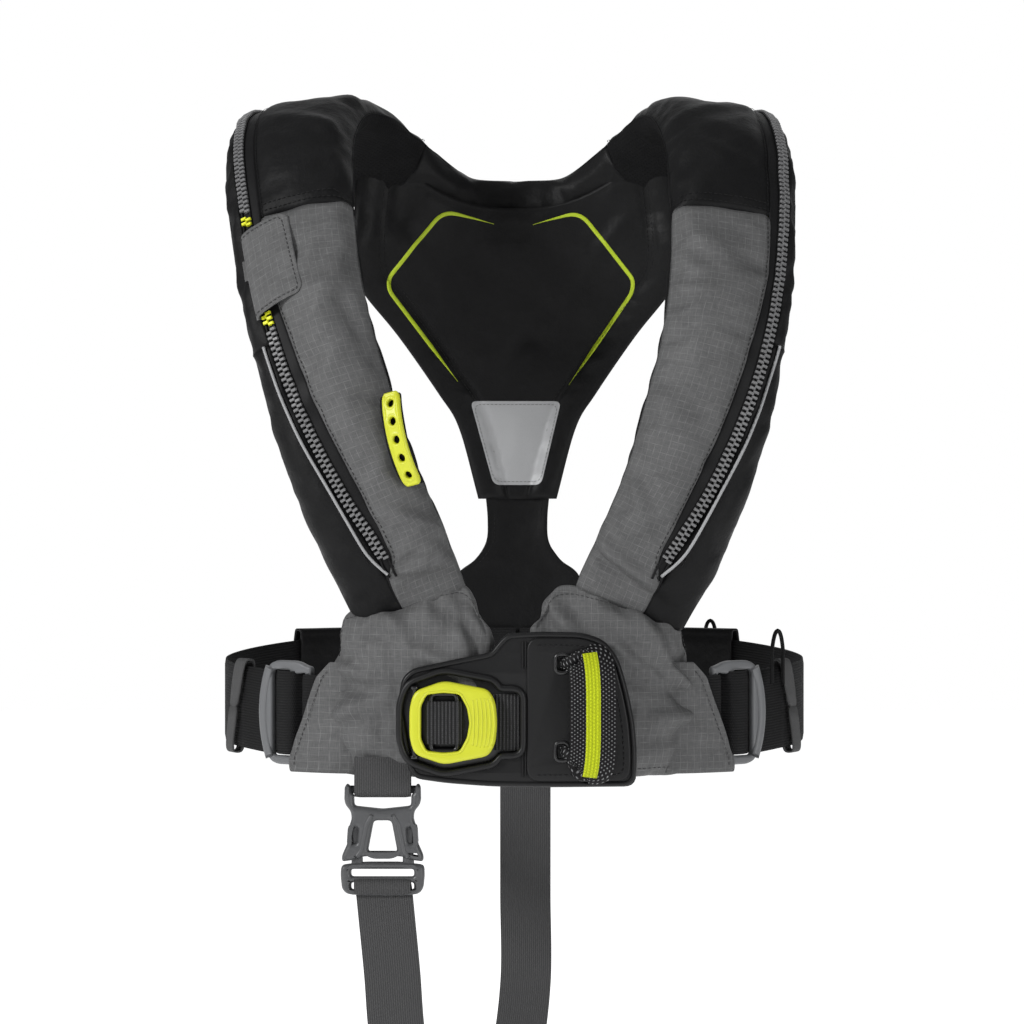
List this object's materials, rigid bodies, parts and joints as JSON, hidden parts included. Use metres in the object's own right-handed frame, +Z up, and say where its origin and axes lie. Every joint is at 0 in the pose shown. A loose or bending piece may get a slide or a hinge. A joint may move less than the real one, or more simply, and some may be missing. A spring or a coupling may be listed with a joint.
{
  "type": "inflatable life jacket",
  "caption": "Horseshoe inflatable life jacket: zipped fabric lobes over the shoulders, back yoke, waist belt with adjusters, front release buckle, soft tether loop and crotch strap.",
  "frame": {"origin": "midway between the two shoulder arches, at the height where their liners bear on the shoulders, at mid depth", "axes": "+X to the wearer's left, +Y to the wearer's back, +Z up"},
  "size_m": [0.3574, 0.2637, 0.6657],
  "materials": {
    "grey_ripstop": "matt woven ripstop",
    "black_fabric": "matt woven fabric with a slight sheen",
    "black_mesh": "matt padded mesh",
    "steel_grey_zip": "moulded coarse teeth",
    "yellow_plastic": "satin moulded plastic",
    "piping_silver": "retroreflective",
    "reflective_silver": "retroreflective film",
    "black_webbing": "woven polyester webbing",
    "grey_elastic": "woven elastic",
    "grey_plastic": "satin glass-filled nylon",
    "grey_webbing": "woven webbing",
    "black_plastic": "satin moulded plastic",
    "steel": "drawn stainless steel",
    "lime_trim": "woven stripe",
    "red_plastic": "moulded",
    "bladder_yellow": "coated fabric",
    "orange_plastic": "moulded"
  },
  "bodies": {
    "jacket": {"right_front_panel": "grey_ripstop", "right_shoulder_panel": "black_fabric", "right_side_panel_upper": "black_fabric", "right_side_panel_lower": "black_fabric", "right_liner": "black_mesh", "right_waist_panel": "grey_ripstop", "left_front_panel": "grey_ripstop", "left_shoulder_panel": "black_fabric", "left_side_panel_upper": "black_fabric", "left_side_panel_lower": "black_fabric", "left_liner": "black_mesh", "left_waist_panel": "grey_ripstop", "collar_panel": "black_fabric", "neck_liner": "black_mesh", "zip_tapes": "black_fabric", "zip_chains": "steel_grey_zip", "zip_break_teeth": "yellow_plastic", "piping": "piping_silver", "back_yoke": "black_fabric", "yoke_badge": "black_fabric", "reflective_patch": "reflective_silver", "back_strap": "black_webbing", "right_belt": "black_webbing", "left_belt": "black_webbing", "waist_webbing": "black_webbing", "adjuster_folds": "black_webbing", "belt_keepers": "grey_elastic", "belt_loops": "black_webbing", "cord_loops": "black_webbing", "chest_plate": "black_plastic", "buckle_bezel": "black_plastic", "buckle_base": "black_plastic", "buckle_post": "steel", "buckle_webbing_tail": "black_webbing", "harness_eyelets": "black_plastic", "pull_cord": "black_webbing", "inflator_body": "black_plastic", "inflator_cap": "red_plastic", "lever_pin": "steel", "gas_cylinder": "steel", "bladder": "bladder_yellow", "oral_tube": "yellow_plastic", "whistle": "orange_plastic", "crotch_hanger": "grey_webbing", "crotch_buckle_socket": "grey_plastic", "crotch_strap": "grey_webbing"},
    "release_ring": {"buckle_frame": "yellow_plastic", "buckle_bars": "steel", "buckle_webbing_fold": "black_webbing"},
    "cover_flap": {"zip_flap": "grey_ripstop"},
    "slider": {"zip_slider": "steel_grey_zip"},
    "handle": {"pull_handle": "yellow_plastic"},
    "lever": {"inflator_lever": "yellow_plastic"},
    "firing_pin": {"piercing_pin": "steel"},
    "right_adjuster_frame": {"right_adjuster": "grey_plastic"},
    "left_adjuster_frame": {"left_adjuster": "grey_plastic"},
    "crotch_plug": {"crotch_buckle_plug": "grey_plastic"},
    "tether_loop": {"harness_loop": "black_webbing", "harness_stripe": "lime_trim"},
    "mouthpiece_cap": {"oral_tube_cap": "black_plastic"}
  },
  "joints": [
    {"name": "buckle_release", "type": "hinge", "parent": "jacket", "child": "release_ring", "pos_m": [-0.0555, -0.1335, -0.3526], "axis": [0, 0, -1], "range_deg": [0, 60]},
    {"name": "zip_flap_open", "type": "hinge", "parent": "jacket", "child": "cover_flap", "pos_m": [-0.15877, -0.10383, -0.0925], "axis": [0.2351, -0.3728, -0.8976], "range_deg": [0, 110]},
    {"name": "zip_slide", "type": "slide", "parent": "jacket", "child": "slider", "axis": [0.166, -0.3495, -0.9221], "range_m": [0, 0.006]},
    {"name": "manual_pull", "type": "slide", "parent": "jacket", "child": "handle", "axis": [0.2498, -0.4997, -0.8294], "range_m": [0, 0.04], "deforming": ["pull_cord"]},
    {"name": "lever_fire", "type": "hinge", "parent": "jacket", "child": "lever", "pos_m": [-0.11438, -0.11064, -0.14983], "axis": [0.2594, 0.9649, 0.0419], "range_deg": [0, 90.5]},
    {"name": "pin_pierce", "type": "slide", "parent": "jacket", "child": "firing_pin", "axis": [0.3269, -0.0469, -0.9439], "range_m": [0, 0.00441]},
    {"name": "right_adjuster_tilt", "type": "hinge", "parent": "jacket", "child": "right_adjuster_frame", "pos_m": [-0.1197, -0.08903, -0.35], "axis": [0, 0, 1], "range_deg": [0, 20]},
    {"name": "left_adjuster_tilt", "type": "hinge", "parent": "jacket", "child": "left_adjuster_frame", "pos_m": [0.1197, -0.08903, -0.35], "axis": [0, 0, -1], "range_deg": [0, 20]},
    {"name": "crotch_buckle_release", "type": "slide", "parent": "jacket", "child": "crotch_plug", "axis": [0, 0, -1], "range_m": [0, 0.035], "deforming": ["crotch_strap"]},
    {"name": "harness_loop_swing", "type": "hinge", "parent": "jacket", "child": "tether_loop", "pos_m": [0.03, -0.1332, -0.344], "axis": [0, 0, -1], "range_deg": [0, 70]},
    {"name": "mouthpiece_cap_pull", "type": "slide", "parent": "jacket", "child": "mouthpiece_cap", "axis": [-0.3348, 0.0002, -0.9423], "range_m": [0, 0.012]}
  ],
  "couplings": [
    {"joint": "lever_fire", "follows": "manual_pull", "rad_per_m": 39.27},
    {"joint": "pin_pierce", "follows": "manual_pull", "ratio": 0.11}
  ]
}
